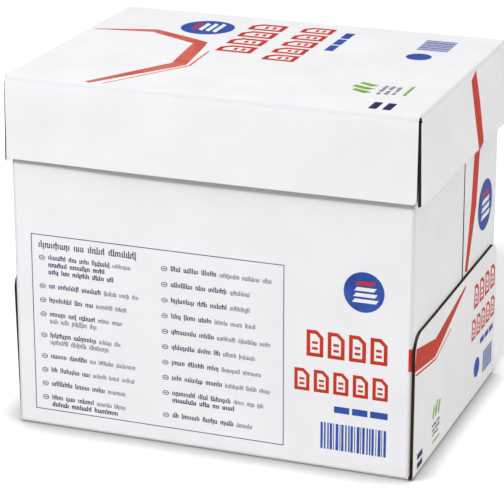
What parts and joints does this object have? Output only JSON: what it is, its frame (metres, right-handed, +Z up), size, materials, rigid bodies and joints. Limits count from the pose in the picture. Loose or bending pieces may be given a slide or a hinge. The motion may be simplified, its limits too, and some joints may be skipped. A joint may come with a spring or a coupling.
{
  "type": "copy paper carton",
  "caption": "Lidded corrugated carton with a lift-off telescoping lid and glued end flaps, packed with wrapped reams of copy paper.",
  "frame": {"origin": "centre of the footprint, on the surface the carton stands on", "axes": "+X along the long side to the right, +Y towards the back, +Z up through the lid"},
  "size_m": [0.3154, 0.2326, 0.2698],
  "materials": {
    "carton_board": "white clay-coated corrugated board, brown at the cut edges, printed in blue and red",
    "ream_wrapper": "smooth white moisture-proof ream wrapper"
  },
  "bodies": {
    "carton": {"carton_body": "carton_board", "ream_1": "ream_wrapper", "ream_2": "ream_wrapper", "ream_3": "ream_wrapper", "ream_4": "ream_wrapper", "ream_5": "ream_wrapper"},
    "lid": {"carton_lid": "carton_board"}
  },
  "joints": [
    {"name": "lid_lift", "type": "slide", "parent": "carton", "child": "lid", "axis": [0, 0, 1], "range_m": [0, 0.12]}
  ]
}
